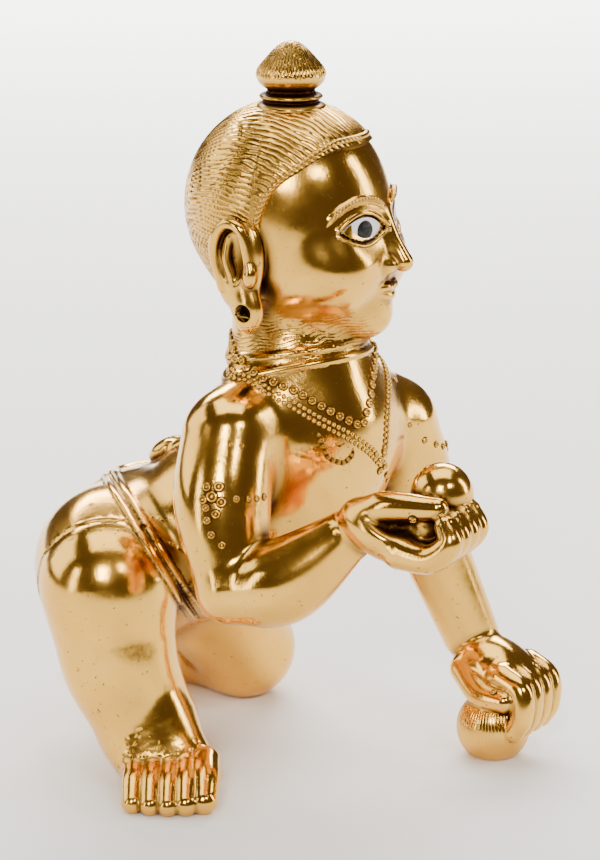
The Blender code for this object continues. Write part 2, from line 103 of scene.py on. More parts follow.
# Rings: place and radius; the armlet's rosette, the punches, and those below the lowest beads
RINGS = [
    (-0.229, -0.039, 0.44, 0.008), (-0.229, -0.03, 0.451, 0.006), (-0.221, -0.043, 0.452, 0.007),
    (-0.224, -0.05, 0.434, 0.007), (-0.236, -0.03, 0.436, 0.006), (-0.232, -0.048, 0.42, 0.0062),
    (-0.237, -0.036, 0.427, 0.0055), (-0.239, -0.04, 0.412, 0.0055), (-0.24, -0.048, 0.395, 0.0055),
    (-0.235, -0.061, 0.383, 0.005),
    (-0.209, -0.061, 0.437, 0.0048), (-0.193, -0.068, 0.435, 0.0048), (-0.18, -0.07, 0.433, 0.0044),
    (-0.166, -0.069, 0.432, 0.0048), (-0.191, -0.036, 0.499, 0.0034), (-0.181, -0.044, 0.497, 0.0034),
    (0.104, -0.055, 0.531, 0.004), (0.108, -0.078, 0.473, 0.0036), (0.136, -0.081, 0.447, 0.0046),
    (0.159, -0.082, 0.437, 0.0046), (0.178, -0.08, 0.43, 0.0046), (0.044, -0.092, 0.421, 0.0046),
    (0.053, -0.085, 0.41, 0.0034), (-0.141, -0.291, 0.443, 0.006), (0.178, -0.172, 0.102, 0.0052),
    (0.196, -0.062, 0.425, 0.0056), (0.206, -0.05, 0.432, 0.005), (0.208, -0.058, 0.416, 0.005),
    (0.02, -0.101, 0.446, 0.0062), (0.034, -0.099, 0.436, 0.0054), (0.022, -0.101, 0.432, 0.0054),
    (0.01, -0.103, 0.455, 0.005), (0.028, -0.1, 0.458, 0.0054),
]

# Stage: floor, world light, and the lamps' names, places, sizes, powers in watts and aims, in metres
FLOOR_HALF = 3
WORLD_COLOUR = (1.0, 0.72, 0.46, 1)
WORLD_POWER = 0.11
LAMP_COLOUR = (1, 0.98, 0.95)
AIM = (0, 0, 0.05)
LAMPS = [
    ("key", (-0.95, -0.6, 0.8), (0.3, 0.45), 9.5, AIM),
    ("side", (0.85, -0.75, 0.45), (0.22, 0.8), 5.5, AIM),
    ("back", (-0.45, 1.0, 0.55), (0.9, 0.8), 6.0, AIM),
    ("left", (-1.1, 0.35, 0.35), (0.2, 0.7), 2.5, AIM),
    ("front", (-0.25, -1.0, 0.95), (0.3, 0.22), 4.0, AIM),
    ("top", (0.1, 0.1, 1.2), (1.1, 0.9), 11.0, AIM),
    ("backdrop", (1.15, 1.05, 1.0), (1.5, 1.5), 130.0, (1.35, 1.2, 0)),
]
# Camera: degrees round and up, aim and distance, focal length and picture height in pixels
VIEW_TURN = -48
VIEW_RISE = 15
VIEW_AIM = (0, 0.02, 0.47)
VIEW_FAR = 3.6
FOCAL_PIXELS = 2736
PICTURE_PIXELS = 860
SENSOR = 36

# Pose, in shares of the drawing grid
TIP = 0.982
GRID = (cad_high[2] - cad_low[2]) / TIP
HEAD = (0.006, 0.029, 0.75)
HEAD_TURN = 17
HEAD_R = 0.125
R_SHOULDER = (-0.146, 0.01, 0.49)
R_ELBOW = (-0.203, -0.05, 0.318)
R_WRIST = (-0.137, -0.18, 0.396)
L_SHOULDER = (0.142, -0.022, 0.462)
L_ELBOW = (0.193, -0.035, 0.31)
L_WRIST = (0.238, -0.083, 0.15)
R_HIP = (-0.064, 0.278, 0.25)
R_KNEE = (-0.172, 0.208, 0.258)
R_ANKLE = (-0.165, 0.151, 0.08)
L_HIP = (0.062, 0.292, 0.225)
L_KNEE = (0.156, 0.272, 0.07)
L_ANKLE = (0.128, 0.42, 0.04)
TOE_IN = (-0.209, 0)
TOE_OUT = (-0.27, 0.07)
TOE_BACK = (0.053, 0.046)
KNOT = (-0.008, 0.006)
EAR = (0.122, 0.024, -0.04)
DRILL = 0.0105
EAR_TURN = 14
EYE_ANGLE = 23
EYE_Z = 0.002
EYE_HALF_WIDE = 0.037
EYE_HALF_HIGH = 0.0175
EYE_THICK = 0.007
EYE_LOWER = 0.78
EYE_PROUD = 0.0012
EYE_DOME = 0.0026
EYE_BEND = 3.6
SWEET_R = 0.039
SWEET_L = 0.05
SWEET_AT = (0.207, -0.15, 0.04)
# Balls inside which a hand, a foot or the head is worked out: centre and radius
R_FOOT_BALL = ((-0.2, 0.09, 0.03), 0.17)
L_FOOT_BALL = ((0.1, 0.46, 0.03), 0.15)
R_HAND_BALL = ((-0.11, -0.27, 0.43), 0.15)
L_HAND_BALL = ((0.22, -0.15, 0.08), 0.16)
HEAD_BALL = ((0.006, 0.02, 0.77), 0.27)

# Hairline: distance round the head from the middle of the forehead, and height
HAIRLINE = [
    (0, 0.106), (0.08, 0.103), (0.14, 0.082), (0.18, 0.052), (0.196, 0.01), (0.21, -0.06), (0.26, -0.12),
    (0.4, -0.145),
]
HAIR_THICK = 0.0055
HAIR_RIM = 0.003
WAIST_NORMAL = (-0.727, -0.495, 0.475)
WAIST_AT = -0.03

seeds = []


def norm(v):
    return np.sqrt((v * v).sum(-1))


def blend(a, b, k):
    """Union of two forms with a fillet of size k."""
    h = np.clip(0.5 + 0.5 * (b - a) / k, 0, 1)
    return b + (a - b) * h - k * h * (1 - h)


def carve(a, b, k):
    """Form a with form b taken out, the edge rounded by k."""
    h = np.clip(0.5 - 0.5 * (b + a) / k, 0, 1)
    return a + (-b - a) * h + k * h * (1 - h)


def step(lo, hi, v):
    t = np.clip((v - lo) / (hi - lo), 0, 1)
    return t * t * (3 - 2 * t)


def ridge(v, half):
    """A rounded ridge, 1 on its line and 0 at half its width."""
    return np.clip(1 - (v / half) ** 2, 0, 1)


def turn(rx, ry, rz):
    rx, ry, rz = np.radians([rx, ry, rz])
    x = np.array([[1, 0, 0], [0, np.cos(rx), -np.sin(rx)], [0, np.sin(rx), np.cos(rx)]])
    y = np.array([[np.cos(ry), 0, np.sin(ry)], [0, 1, 0], [-np.sin(ry), 0, np.cos(ry)]])
    z = np.array([[np.cos(rz), -np.sin(rz), 0], [np.sin(rz), np.cos(rz), 0], [0, 0, 1]])
    return z @ y @ x


def placed(o, r, s=(1, 1, 1)):
    m = np.eye(4)
    m[:3, :3] = r * s
    m[:3, 3] = o
    return m


class Spot:
    """Points told in one set of axes, and the placement of those axes on the grid."""

    def __init__(self, v, m=np.eye(4)):
        self.v = v
        self.m = m

    def axes(self, o, r):
        return Spot((self.v - o) @ r, self.m @ placed(o, r))

    def pick(self, keep):
        return Spot(self.v[keep], self.m)


def hollow(p, c, r, t=(0, 0, 0)):
    """Distance to an egg with centre c, half sizes r and turn t."""
    q = (p.v - c) @ turn(*t)
    k0 = norm(q / r)
    k1 = norm(q / np.array(r) ** 2)
    return k0 * (k0 - 1) / np.maximum(k1, 1e-6)


def egg(p, c, r, t=(0, 0, 0)):
    seeds.append(p.m @ placed(c, turn(*t), r))
    return hollow(p, c, r, t)


def curve(pts, n):
    """A smooth path through the points, n steps from one to the next."""
    pts = np.array(pts, float)
    e = np.vstack([2 * pts[0] - pts[1], pts, 2 * pts[-1] - pts[-2]])
    out = []
    for a, b, c, d in zip(e[:-3], e[1:-2], e[2:-1], e[3:]):
        for t in np.arange(n) / n:
            out.append(0.5 * (2 * b + (c - a) * t + (2 * a - 5 * b + 4 * c - d) * t * t
                              + (3 * b - a - 3 * c + d) * t ** 3))
    out.append(pts[-1])
    return np.array(out)


def limb(p, pts, radii, n=4):
    """Distance to a round rod along a smooth path through the points with a radius at each."""
    e = np.column_stack([pts, radii])
    e = np.vstack([2 * e[0] - e[1], e, 2 * e[-1] - e[-2]])
    a, b, c, d = e[:-3], e[1:-2], e[2:-1], e[3:]
    parts = [b, (c - a) / 2, a - 2.5 * b + 2 * c - d / 2, (3 * b - a - 3 * c + d) / 2]
    spans = len(b)

    def rod(u):
        j = np.minimum(u.astype(int), spans - 1)
        s = (u - j)[:, None]
        c0, c1, c2, c3 = [k[j] for k in parts]
        return s, c1, c2, c3, c0 + s * (c1 + s * (c2 + s * c3))

    q = curve(e[1:-1], n)
    best = np.full(len(p.v), 9.0)
    u = np.zeros(len(p.v))
    for i, (a, b) in enumerate(zip(q[:-1], q[1:])):
        ab = b[:3] - a[:3]
        v = p.v - a[:3]
        t = np.clip(v @ ab / max(ab @ ab, 1e-12), 0, 1)
        far = norm(v - t[:, None] * ab) - (a[3] + (b[3] - a[3]) * t)
        u = np.where(far < best, (i + t) / n, u)
        best = np.minimum(far, best)
        count = int(np.ceil(norm(ab) / (0.7 * min(a[3], b[3])))) + 1
        for s in np.linspace(0, 1, count):
            m = a + (b - a) * s
            seeds.append(p.m @ placed(m[:3], np.eye(3), (m[3],) * 3))
    for _ in range(2):
        s, c1, c2, c3, at = rod(u)
        way = (c1 + s * (2 * c2 + 3 * s * c3))[:, :3]
        bend = (2 * c2 + 6 * s * c3)[:, :3]
        x = at[:, :3] - p.v
        down = (way * way).sum(1) + (x * bend).sum(1)
        move = (x * way).sum(1) / np.maximum(down, 0.3 * (way * way).sum(1) + 1e-12)
        u = np.clip(u - np.clip(move, -0.2, 0.2), 0, spans)
    at = rod(u)[-1]
    return norm(at[:, :3] - p.v) - at[:, 3]


def near(p, part, c, r):
    """The part's distance inside a ball round it, and a safe distance outside."""
    far = norm(p.v - c) - r
    out = far + 0.06
    keep = far < 0
    out[keep] = part(p.pick(keep))
    return out


def mix(a, b, t):
    return np.array(a) + (np.array(b) - np.array(a)) * t


def trunk(p):
    d = egg(p, (0, 0.305, 0.246), (0.128, 0.124, 0.12))
    d = blend(d, egg(p, (0, 0.17, 0.312), (0.112, 0.14, 0.118), (-32, 0, 0)), 0.05)
    d = blend(d, egg(p, (0, 0.01, 0.425), (0.122, 0.105, 0.145), (25, 0, 0)), 0.06)
    d = blend(d, limb(p, [R_SHOULDER, (0, 0.012, 0.5), L_SHOULDER], [0.045, 0.072, 0.045]), 0.06)
    d = blend(d, limb(p, [(-0.115, 0.015, 0.515), (0, 0.02, 0.56), (0.11, -0.01, 0.495)],
                      [0.04, 0.062, 0.04]), 0.04)
    d = blend(d, limb(p, [(0, 0.015, 0.53), (0, 0.028, 0.62)], [0.083, 0.082], 1), 0.045)
    x, y, z = p.v.T
    fold = ridge(z - 0.59 + 0.16 * y, 0.006) + ridge(z - 0.571 + 0.2 * y, 0.006)
    d = d - 0.0028 * fold * step(0.09, 0.06, y)
    pit = hollow(p, (-0.104, -0.11, 0.425), (0.062, 0.03, 0.03), (0, 42, 30))
    d = carve(d, pit, 0.01)
    tail = ridge(x, 0.024) * step(0.03, 0.06, y) * step(0.27, 0.25, y)
    d = d - 0.011 * np.sqrt(tail) * step(0.36, 0.4, z)
    return blend(d, egg(p, (0, 0.262, 0.399), (0.027, 0.034, 0.017), (-32, 0, 0)), 0.006)


def waist_string(p):
    """Two cords side by side round the hips."""
    x, y, z = p.v.T
    u = np.column_stack([np.sqrt(x ** 2 + 0.0004), y, z]) @ WAIST_NORMAL - WAIST_AT
    cords = ridge(u - 0.0068, 0.0058) + ridge(u + 0.0068, 0.0058)
    return cords * step(0.08, 0.11, y) * step(0.15, 0.18, z) * step(0.43, 0.4, z)


def right_arm(p):
    d = limb(p, [R_SHOULDER, (-0.182, -0.012, 0.41), R_ELBOW], [0.061, 0.062, 0.046])
    return blend(d, limb(p, [R_ELBOW, (-0.176, -0.112, 0.334), R_WRIST], [0.046, 0.055, 0.034]), 0.01)


def left_arm(p):
    return limb(p, [L_SHOULDER, (0.17, -0.03, 0.385), L_ELBOW, L_WRIST], [0.058, 0.055, 0.049, 0.039])


def right_leg(p):
    d = limb(p, [R_HIP, (-0.13, 0.248, 0.268), R_KNEE], [0.112, 0.104, 0.086])
    return blend(d, limb(p, [R_KNEE, (-0.18, 0.182, 0.16), R_ANKLE], [0.085, 0.079, 0.066]), 0.03)


def left_leg(p):
    d = limb(p, [L_HIP, (0.115, 0.28, 0.14), L_KNEE], [0.108, 0.093, 0.072])
    return blend(d, limb(p, [L_KNEE, (0.15, 0.35, 0.05), L_ANKLE], [0.07, 0.056, 0.04]), 0.02)


def toes(p, inner, outer, back, rise, big, small):
    """Five toes side by side, big toe first; back is the way from tip to root."""
    d = None
    for i in range(5):
        r = big + (small - big) * min(i, 2) / 2
        tip = np.append(mix(inner, outer, i / 4), r * 0.9)
        tip[:2] = tip[:2] - np.array(back[:2]) * 0.13 * np.sin(np.pi * i / 4)
        root = tip + np.array(back)
        toe = limb(p, [root, mix(root, tip, 0.55) + (0, 0, rise), tip], [r * 1.1, r * 1.12, r], 3)
        d = toe if d is None else blend(d, toe, 0.003)
    return d


def right_foot(p):
    d = egg(p, (-0.152, 0.146, 0.034), (0.05, 0.054, 0.048), (0, 0, -48))
    for t in (0.06, 0.36, 0.66, 0.94):
        tip = mix(TOE_IN, TOE_OUT, t)
        ball = np.append(tip + TOE_BACK, 0.026)
        ankle = np.append((-0.17, 0.134) + (tip - mix(TOE_IN, TOE_OUT, 0.5)) * 0.4, 0.062)
        d = blend(d, limb(p, [ankle, mix(ankle, ball, 0.55), ball], [0.044, 0.036, 0.027]), 0.02)
    return blend(d, toes(p, TOE_IN, TOE_OUT, (*TOE_BACK, 0.026), 0.006, 0.018, 0.0145), 0.006)


def left_foot(p):
    d = egg(p, (0.105, 0.462, 0.034), (0.04, 0.07, 0.033), (0, 0, 18))
    d = blend(d, egg(p, (0.124, 0.418, 0.04), (0.042, 0.045, 0.04)), 0.02)
    row = toes(p, (0.055, 0.52), (0.118, 0.528), (0.012, -0.05, 0.012), 0.003, 0.016, 0.012)
    return blend(d, row, 0.008)


def fingers(p, bones, across, middle, radii, k):
    """Four fingers side by side, each through the same bones moved along across."""
    d = None
    for i in range(4):
        move = np.array(across) * (i / 3 - middle)
        f = limb(p, [np.array(b) + move for b in bones], radii)
        d = f if d is None else blend(d, f, k)
    return d


def right_hand(p):
    d = egg(p, (-0.124, -0.236, 0.412), (0.047, 0.064, 0.036), (22, 10, 22))
    d = blend(d, egg(p, (-0.1, -0.27, 0.425), (0.04, 0.045, 0.036)), 0.01)
    d = carve(d, hollow(p, (-0.158, -0.268, 0.436), (0.026, 0.038, 0.016), (24, 0, 22)), 0.01)
    bones = [(-0.12, -0.268, 0.398), (-0.118, -0.312, 0.398), (-0.111, -0.338, 0.42),
             (-0.106, -0.326, 0.44)]
    row = fingers(p, bones, (0.062, 0.01, 0.004), 0.35, [0.022, 0.018, 0.016, 0.013], 0.005)
    d = blend(d, row, 0.008)
    bones = [(-0.137, -0.198, 0.417), (-0.14, -0.246, 0.448), (-0.122, -0.312, 0.455)]
    d = blend(d, limb(p, bones, [0.026, 0.02, 0.0145]), 0.006)
    return blend(d, egg(p, (-0.08, -0.286, 0.46), (SWEET_R,) * 3), 0.004)


def left_hand(p):
    d = egg(p, (0.238, -0.138, 0.114), (0.05, 0.064, 0.035), (28, 0, 14))
    d = blend(d, egg(p, (0.222, -0.15, 0.09), (0.042, 0.045, 0.036)), 0.01)
    bones = [(0.236, -0.16, 0.114), (0.236, -0.192, 0.1), (0.23, -0.2, 0.068), (0.225, -0.192, 0.046)]
    row = fingers(p, bones, (0.076, 0.012, -0.002), 0.42, [0.019, 0.018, 0.016, 0.014], 0.004)
    d = blend(d, row, 0.006)
    bones = [(0.208, -0.105, 0.112), (0.188, -0.145, 0.09), (0.186, -0.183, 0.088)]
    d = blend(d, limb(p, bones, [0.026, 0.02, 0.015]), 0.005)
    return blend(d, egg(p, SWEET_AT, (SWEET_L,) * 3), 0.004)


def chart(q):
    """Distance round the head from the middle of the face, and height."""
    return np.arctan2(q.v[:, 0], -q.v[:, 1]) * HEAD_R, q.v[:, 2]


def hairline(s):
    k = curve(HAIRLINE, 12)
    return np.interp(np.abs(s), k[:, 0], k[:, 1])


def hair(q):
    """Height above the hairline."""
    s, z = chart(q)
    return z - hairline(s)


def brow(q):
    s, z = chart(q)
    u = np.abs(s)
    arch = 0.041 - 8.0 * (u - 0.05) ** 2
    return step(0.008, 0.016, u) * step(0.108, 0.094, u) * ridge(z - arch, 0.006)


def eye_axes(q, side):
    """Axes of one eye: x along it, -y out of the face."""
    return q.axes((0, 0, EYE_Z), turn(0, 0, side * EYE_ANGLE))


def lids(q):
    """Raised lines above and below the two eyes."""
    total = 0
    for side in (-1, 1):
        e = eye_axes(q, side).v
        x = e[:, 0] / (EYE_HALF_WIDE * 1.1)
        z = e[:, 2] / EYE_HALF_HIGH
        z = np.where(z > 0, z, -z / EYE_LOWER)
        line = (z - 1.04 * np.clip(1 - x * x, 0, 1)) * EYE_HALF_HIGH
        total = total + ridge(line - 0.004, 0.0036) * (e[:, 1] < 0) * step(1.12, 1.0, np.abs(x))
    return np.minimum(total, 1)


def skull(q):
    d = egg(q, (0, 0.012, 0.02), (0.124, 0.132, 0.131))
    d = blend(d, egg(q, (0, -0.024, -0.045), (0.109, 0.108, 0.108)), 0.04)
    for x in (-0.055, 0.055):
        d = blend(d, egg(q, (x, -0.074, -0.052), (0.049, 0.05, 0.045)), 0.03)
    d = blend(d, egg(q, (0, -0.094, -0.117), (0.036, 0.036, 0.031)), 0.03)
    for side in (-1, 1):
        orbit = hollow(q, (side * 0.05, -0.15, 0.004), (0.044, 0.03, 0.025), (0, 0, side * EYE_ANGLE))
        d = carve(d, orbit, 0.022)
    return d


def face(q):
    d = skull(q)
    nose = limb(q, [(0, -0.117, 0.02), (0, -0.136, -0.02), (0, -0.149, -0.044)], [0.008, 0.01, 0.0125])
    for x in (-0.014, 0.014):
        nose = blend(nose, egg(q, (x, -0.132, -0.047), (0.011, 0.013, 0.0095)), 0.006)
    d = blend(d, nose, 0.012)
    upper = limb(q, [(-0.034, -0.119, -0.0785), (-0.013, -0.1305, -0.076), (0, -0.131, -0.078),
                     (0.013, -0.1305, -0.076), (0.034, -0.119, -0.0785)],
                 [0.0026, 0.0054, 0.0048, 0.0054, 0.0026])
    lower = limb(q, [(-0.027, -0.121, -0.084), (0, -0.1295, -0.0885), (0.027, -0.121, -0.084)],
                 [0.0026, 0.0068, 0.0026])
    d = blend(d, upper, 0.005)
    d = blend(d, lower, 0.004)
    return d - 0.0035 * brow(q) - 0.0022 * lids(q)


def ear(q, side):
    e = q.axes((side * EAR[0], EAR[1], EAR[2]), turn(0, 0, side * EAR_TURN))
    d = egg(e, (0, 0, 0), (0.017, 0.037, 0.06), (8, 0, 0))
    d = blend(d, egg(e, (side * 0.004, -0.016, -0.056), (0.014, 0.023, 0.03)), 0.012)
    d = carve(d, hollow(e, (side * 0.019, -0.002, 0.01), (0.015, 0.02, 0.034), (8, 0, 0)), 0.005)
    fold = limb(e, [(side * 0.008, 0.01, 0.034), (side * 0.011, 0.012, 0.008),
                    (side * 0.009, 0.002, -0.02)], [0.005, 0.006, 0.006])
    d = blend(d, fold, 0.004)
    rim = limb(e, [(side * 0.011, -0.024, 0.004), (side * 0.014, -0.013, 0.047), (side * 0.015, 0.014, 0.051),
                   (side * 0.014, 0.031, 0.02), (side * 0.01, 0.021, -0.03)],
               [0.006, 0.007, 0.007, 0.007, 0.006])
    d = blend(d, rim, 0.005)
    d = blend(d, egg(e, (side * 0.013, -0.027, -0.01), (0.008, 0.009, 0.014)), 0.006)
    drill = np.maximum(norm(e.v[:, 1:] - (-0.018, -0.058)) - DRILL, np.abs(e.v[:, 0]) - 0.026)
    return d, drill


def with_ears(d, q):
    """The form with both ears and their drilled lobes."""
    for side in (-1, 1):
        shell, drill = ear(q, side)
        d = carve(blend(d, shell, 0.006), drill, 0.002)
    return d


def topknot(q):
    x, y = KNOT
    d = egg(q, (x, y, 0.146), (0.0455, 0.0455, 0.012))
    d = blend(d, egg(q, (x, y, 0.16), (0.041, 0.041, 0.0085)), 0.003)
    bulb = egg(q, (x, y, 0.188), (0.045, 0.045, 0.0255))
    bulb = blend(bulb, egg(q, (x, y, 0.199), (0.029, 0.029, 0.0315)), 0.014)
    return blend(d, bulb, 0.003)


def head_axes(p):
    return p.axes(HEAD, turn(0, 0, HEAD_TURN))


def head(p):
    q = head_axes(p)
    h = hair(q)
    d = face(q) - HAIR_THICK * step(-0.004, 0.004, h) - HAIR_RIM * ridge(h - 0.005, 0.008)
    return blend(with_ears(d, q), topknot(q), 0.005)


def figure(p):
    d = blend(trunk(p), right_leg(p), 0.03)
    d = blend(d, left_leg(p), 0.03) - 0.004 * waist_string(p)
    d = blend(d, right_arm(p), 0.02)
    d = blend(d, left_arm(p), 0.02)
    d = blend(d, near(p, right_foot, *R_FOOT_BALL), 0.03)
    d = blend(d, near(p, left_foot, *L_FOOT_BALL), 0.02)
    d = blend(d, near(p, right_hand, *R_HAND_BALL), 0.006)
    d = blend(d, near(p, left_hand, *L_HAND_BALL), 0.008)
    return blend(d, near(p, head, *HEAD_BALL), 0.016)


def to_metres(v):
    """Grid shares to metres in the frame of the part."""
    return np.asarray(v) * GRID - MIDDLE


def slopes(v, form, e=2e-4):
    """Distance and gradient of a form at points, from four near points each."""
    tetra = np.array([(1, 1, 1), (1, -1, -1), (-1, 1, -1), (-1, -1, 1)])
    four = [form(Spot(v + e * k)) for k in tetra]
    g = sum(f[:, None] * k for f, k in zip(four, tetra)) / (4 * e)
    return sum(four) / 4, g


def settled(v, form, turns, deepest=-9.0):
    """Points moved along the gradient until the form's distance is nought; those far inside stay."""
    for _ in range(turns):
        d, g = slopes(v, form)
        far = np.clip(d / np.maximum(norm(g) ** 2, 0.05), -0.012, 0.012) * (d > deepest)
        v = v - far[:, None] * g
    return v


def unit(v):
    return v / np.maximum(norm(v)[..., None], 1e-12)


def circle(n):
    return np.linspace(0, 2 * np.pi, n, endpoint=False)


def hashed(i, j):
    """A number from 0 to 1 that depends on two whole numbers, the same every time."""
    x = np.sin(i * 12.9898 + j * 78.233) * 43758.5453
    return x - np.floor(x)


def coords(mesh):
    v = np.empty(len(mesh.vertices) * 3)
    mesh.vertices.foreach_get("co", v)
    return v.reshape(-1, 3)


def put(mesh, v):
    mesh.vertices.foreach_set("co", np.asarray(v, float).ravel())
    mesh.update()


def settle(obj, form, turns, deepest=-9.0):
    put(obj.data, settled(coords(obj.data), form, turns, deepest))


def new_piece(name, verts, faces):
    """A mesh object of corners and faces, which are turned outwards together."""
    verts = np.asarray(verts, float)
    tri = np.array([(f[0], f[k], f[k + 1]) for f in faces for k in range(1, len(f) - 1)])
    a, b, c = (verts[tri[:, k]] for k in range(3))
    inward = (a * np.cross(b, c)).sum() < 0
    mesh = bpy.data.meshes.new(name)
    mesh.from_pydata(verts.tolist(), [], [list(map(int, f[::-1] if inward else f)) for f in faces])
    obj = bpy.data.objects.new(name, mesh)
    bpy.context.scene.collection.objects.link(obj)
    return obj


def modified(obj, kind, **settings):
    """Puts the object's mesh through a modifier."""
    mod = obj.modifiers.new(kind, kind)
    for key, value in settings.items():
        setattr(mod, key, value)
    mesh = bpy.data.meshes.new_from_object(obj.evaluated_get(bpy.context.evaluated_depsgraph_get()))
    obj.modifiers.clear()
    obj.data = mesh


def fused(obj, voxel):
    modified(obj, 'REMESH', mode='VOXEL', voxel_size=voxel)


def thinned(obj, triangles):
    share = min(1, triangles / (2 * len(obj.data.polygons)))
    modified(obj, 'DECIMATE', ratio=share, use_collapse_triangulate=True)


def sliced(obj, point, normal, above):
    """The part of the object above or below a plane, closed again by a flat face."""
    bm = bmesh.new()
    bm.from_mesh(obj.data)
    geom = bm.verts[:] + bm.edges[:] + bm.faces[:]
    cut = bmesh.ops.bisect_plane(bm, geom=geom, plane_co=point, plane_no=normal, clear_outer=not above,
                                 clear_inner=above)
    edges = [e for e in cut["geom_cut"] if isinstance(e, bmesh.types.BMEdge)]
    bmesh.ops.holes_fill(bm, edges=edges)
    bm.to_mesh(obj.data)
    bm.free()


def marked(obj, name, values):
    layer = obj.data.attributes.new(name, 'FLOAT', 'POINT')
    layer.data.foreach_set("value", np.asarray(values, float))


def dress(obj, mat, slot=None, node=None, smooth=True):
    """Gives a piece its material, hides the CAD node it stands for, and, when a slot is named, lets it ride
    on the body.
    """
    obj.data.materials.clear()
    obj.data.materials.append(mat)
    if smooth:
        obj.data.shade_smooth()
    if node:
        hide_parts(node)
    if slot:
        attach(obj, "root")


def shaded_by(obj, g):
    """Shading normals of a piece, taken from the slope of its form at its corners."""
    obj.data.shade_smooth()
    obj.data.normals_split_custom_set_from_vertices(unit(g).tolist())


def capped(rows, columns):
    """Faces of a closed net: its wall of quads, joined round, and a fan to a last corner at each end."""
    j = np.arange(columns)
    k = (j + 1) % columns
    i = np.arange(rows - 1)[:, None] * columns
    wall = np.stack([i + j, i + columns + j, i + columns + k, i + k], -1).reshape(-1, 4)
    first = np.stack([j, k, np.full(columns, rows * columns)], -1)
    base = (rows - 1) * columns
    last = np.stack([base + k, base + j, np.full(columns, rows * columns + 1)], -1)
    return wall.tolist() + first.tolist() + last.tolist()


def repeated(faces, times, corners):
    """The faces of one form for several in one mesh."""
    return [[c + n * corners for c in f] for n in range(times) for f in faces]


def eye_seats(q):
    """1 along the edge of each eye, 0 beside it."""
    total = 0
    for side in (-1, 1):
        e = eye_axes(q, side).v
        x = e[:, 0] / EYE_HALF_WIDE
        high = np.where(e[:, 2] > 0, EYE_HALF_HIGH, EYE_HALF_HIGH * EYE_LOWER)
        line = np.abs(e[:, 2]) - high * np.clip(1 - x * x, 0, 1)
        total = total + ridge(line - 0.0005, 0.0022) * (e[:, 1] < 0) * (np.abs(x) < 1.05)
    return total


def hair_cuts(q):
    """Chased strokes, 1 in the middle of a cut. They lie in planes through a line from the chin to the nape,
    HAIR_CUTS of them to a turn, and are broken into dashes."""
    x, y, z = q.v.T
    n = np.arctan2(x, z + 0.075 - 0.35 * y) * HAIR_CUTS / (2 * np.pi)
    along = y + 0.3 * z
    n = n + 0.16 * np.sin(along * 90 + 3 * np.sin(n * 0.37)) + 0.05 * np.sin(along * 310 + n * 0.9)
    i = np.floor(n + 0.5)
    m = along / 0.05 + 1.7 * hashed(i, 0)
    j = np.floor(m)
    t = m - j
    ends = step(0, 0.22, t) * step(1, 0.8, t)
    deep = 0.3 + 0.7 * ends * (0.35 + 0.65 * hashed(i, j + 5))
    return np.exp(-((n - i) / 0.19) ** 2) * deep


def knot_cuts(q):
    """Chased strokes down the upper half of the topknot's bulb."""
    x = q.v[:, 0] - KNOT[0]
    y = q.v[:, 1] - KNOT[1]
    n = np.arctan2(y, x) * KNOT_CUTS / (2 * np.pi)
    i = np.floor(n + 0.5)
    start = 0.183 + 0.006 * hashed(i, 3)
    band = step(start, start + 0.004, q.v[:, 2])
    return np.exp(-((n - i) / 0.2) ** 2) * band * step(0.004, 0.016, np.hypot(x, y))


def neck_cuts(p):
    """Level tool strokes round the neck."""
    x, y, z = p.v.T
    n = (z + 0.17 * y) / 0.0044
    round_it = np.arctan2(x, -y) * 9
    n = n + 0.35 * np.sin(round_it * 1.3 + 2 * np.sin(n * 0.5))
    i = np.floor(n + 0.5)
    j = np.floor(round_it * 0.8 + 3 * hashed(i, 1))
    band = step(0.584, 0.592, z) * step(0.65, 0.63, z)
    return np.exp(-((n - i) / 0.22) ** 2) * band * hashed(i, j + 2)


def bust_form(p):
    """The chest, arms and bare head, with the seats of the eyes and the chased strokes."""
    d = blend(blend(trunk(p), right_arm(p), 0.02), left_arm(p), 0.02)
    q = head_axes(p)
    top = with_ears(face(q) + 0.0032 * eye_seats(q), q)
    top = blend(top, topknot(q) + KNOT_CUT_DEEP * knot_cuts(q), 0.005)
    return blend(d, top, 0.016) + NECK_CUT_DEEP * neck_cuts(p)


def body_form(p):
    """The figure with the twist of the plait down its back."""
    x, y, z = p.v.T
    plait = ridge(x, 0.022) * step(0.05, 0.08, y) * step(0.27, 0.25, y) * step(0.38, 0.41, z)
    twist = np.abs(np.sin(np.pi * (z / PLAIT_PITCH - np.abs(x) / 0.034)))
    return figure(p) + 0.0036 * plait * (1 - twist ** 0.7) * (np.abs(x) < 0.022)


def hair_form(p):
    """The hair's outer skin with its strokes."""
    q = head_axes(p)
    return skull(q) - HAIR_THICK - 0.0004 + HAIR_CUT_DEEP * hair_cuts(q)


def on_grid(q):
    """Points told in the head's axes, on the grid."""
    return np.asarray(q) @ turn(0, 0, HEAD_TURN).T + HEAD


def film_and_shade_depth(v, g, form, painted_shade=0):
    """How deep in a hollow each point lies: the distance found a little way out falls short there. The
    painted shade given with it is added on top.
    """
    wide = form(Spot(v + 0.01 * unit(g)))
    close = form(Spot(v + 0.0035 * unit(g)))
    open_air = form(Spot(v + 0.024 * unit(g)))
    deep = np.clip((0.0088 - wide) / 0.008, 0, 1) ** 1.2
    deep = np.maximum(deep, 0.9 * np.clip((0.02 - open_air) / 0.016, 0, 1))
    fine = np.clip((0.0033 - close) / 0.0016, 0, 1)
    return np.clip(deep + 0.6 * fine + painted_shade, 0, 1)


def measured(path, n):
    """A smooth path, and the way along it to each of its points."""
    base = curve(path, n)
    return base, np.concatenate([[0], np.cumsum(norm(np.diff(base, axis=0)))])


def met_at(base, way, s):
    return np.column_stack([np.interp(s, way, base[:, k]) for k in range(3)])


def along(path, pitch):
    """Points at even steps along a smooth closed path."""
    base, way = measured(path, 20)
    s = np.linspace(0, way[-1], int(round(way[-1] / pitch)), endpoint=False)
    return met_at(base, way, s)


